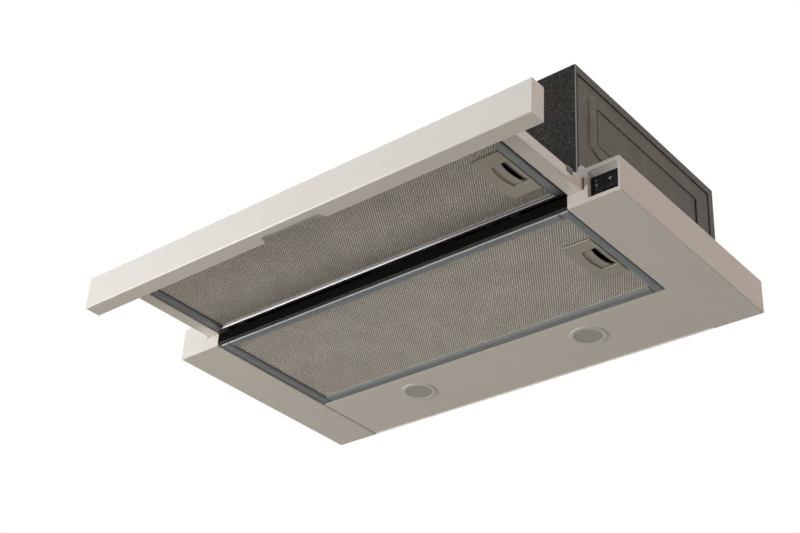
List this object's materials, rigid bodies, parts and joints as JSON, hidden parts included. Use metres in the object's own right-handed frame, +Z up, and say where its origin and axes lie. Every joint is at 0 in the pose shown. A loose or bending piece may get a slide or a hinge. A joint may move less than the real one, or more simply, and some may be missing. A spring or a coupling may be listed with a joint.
{
  "type": "pull out range hood",
  "caption": "Pull-out range hood: sliding drawer and fixed body with grease filters, lamps and rocker switches under a motor box with a blower and round duct spigot.",
  "frame": {"origin": "middle of the bottom edge of the back, where the hood meets the wall", "axes": "+X to the right seen from the front, +Y back to the wall, +Z up; the drawer is pulled out towards -Y at rest"},
  "size_m": [0.6, 0.4243, 0.209],
  "materials": {
    "white_paint": "satin powder coat",
    "zinc": "dull galvanised sheet with a dark spangle",
    "black_foam": "closed cell foam strip",
    "white_plastic": "moulded, satin",
    "grey_plastic": "moulded, satin grey",
    "black_plastic": "moulded, semi gloss",
    "fan_plastic": "moulded",
    "lamp_plastic": "moulded, satin",
    "lamp_glass": "frosted",
    "filter_frame": "folded sheet, satin",
    "filter_mesh": "expanded mesh",
    "alloy": "die cast",
    "steel": "plated",
    "core_steel": "laminated",
    "copper": "enamelled winding",
    "bronze": "sintered",
    "capacitor_can": "moulded can",
    "black_rubber": "moulded"
  },
  "bodies": {
    "hood": {"cheek_left": "white_paint", "cheek_right": "white_paint", "light_panel": "white_paint", "front_bar": "zinc", "drawer_seal": "black_foam", "front_stretcher": "zinc", "box_wrap": "zinc", "box_side_left": "zinc", "box_side_right": "zinc", "slide_guide_left": "white_plastic", "slide_guide_right": "white_plastic", "drawer_stops": "steel", "rear_filter_frame": "filter_frame", "rear_filter_mesh": "filter_mesh", "rear_handle_plate": "grey_plastic", "rear_latch_spring": "steel", "lamp_ring_left": "lamp_plastic", "lamp_ring_right": "lamp_plastic", "lamp_glass_left": "lamp_glass", "lamp_glass_right": "lamp_glass", "lamp_body_left": "alloy", "lamp_body_right": "alloy", "switch_recess": "white_plastic", "speed_switch_body": "black_plastic", "light_switch_body": "black_plastic", "scroll_band": "zinc", "scroll_side_left": "zinc", "scroll_side_right": "zinc", "motor_bracket": "steel", "motor_shield_inner": "alloy", "motor_shield_outer": "alloy", "motor_stator": "core_steel", "motor_windings": "copper", "motor_bearings": "bronze", "duct_spigot": "black_plastic", "flap_pin": "steel", "terminal_box": "white_plastic", "capacitor": "capacitor_can", "cable_bush": "black_rubber", "box_screws": "steel"},
    "drawer": {"fascia": "white_paint", "fascia_back": "white_paint", "drawer_arm_left": "white_paint", "drawer_arm_right": "white_paint", "arm_shoes": "white_plastic", "arm_clip": "steel", "drawer_rail": "zinc", "drawer_screws": "steel", "front_filter_frame": "filter_frame", "front_filter_mesh": "filter_mesh", "front_handle_plate": "grey_plastic", "front_latch_spring": "steel"},
    "rear_catch": {"rear_latch": "grey_plastic"},
    "front_catch": {"front_latch": "grey_plastic"},
    "speed_button": {"speed_rocker": "black_plastic"},
    "light_button": {"light_rocker": "black_plastic"},
    "impeller": {"fan_wheel": "fan_plastic", "motor_rotor": "steel"},
    "front_damper": {"flap_front": "black_plastic"},
    "rear_damper": {"flap_rear": "black_plastic"}
  },
  "joints": [
    {"name": "drawer_slide", "type": "slide", "parent": "hood", "child": "drawer", "axis": [0, 1, 0], "range_m": [0, 0.125]},
    {"name": "rear_catch_slide", "type": "slide", "parent": "hood", "child": "rear_catch", "axis": [-1, 0, 0], "range_m": [0, 0.003], "stiffness_N_per_m": 300, "springref_m": -0.002, "deforming": ["rear_latch_spring"]},
    {"name": "front_catch_slide", "type": "slide", "parent": "drawer", "child": "front_catch", "axis": [-1, 0, 0], "range_m": [0, 0.003], "stiffness_N_per_m": 300, "springref_m": -0.002, "deforming": ["front_latch_spring"]},
    {"name": "speed_rocker_tilt", "type": "hinge", "parent": "hood", "child": "speed_button", "pos_m": [0.2718, -0.2685, 0.01765], "axis": [1, 0, 0], "range_deg": [-8, 8]},
    {"name": "light_rocker_tilt", "type": "hinge", "parent": "hood", "child": "light_button", "pos_m": [0.2888, -0.2685, 0.01765], "axis": [1, 0, 0], "range_deg": [0, 16]},
    {"name": "fan_spin", "type": "hinge", "parent": "hood", "child": "impeller", "pos_m": [0, -0.185, 0.108], "axis": [1, 0, 0], "continuous": true},
    {"name": "front_flap_swing", "type": "hinge", "parent": "hood", "child": "front_damper", "pos_m": [0, -0.13775, 0.186], "axis": [-1, 0, 0], "range_deg": [0, 75]},
    {"name": "rear_flap_swing", "type": "hinge", "parent": "hood", "child": "rear_damper", "pos_m": [0, -0.13775, 0.186], "axis": [1, 0, 0], "range_deg": [0, 75]}
  ]
}
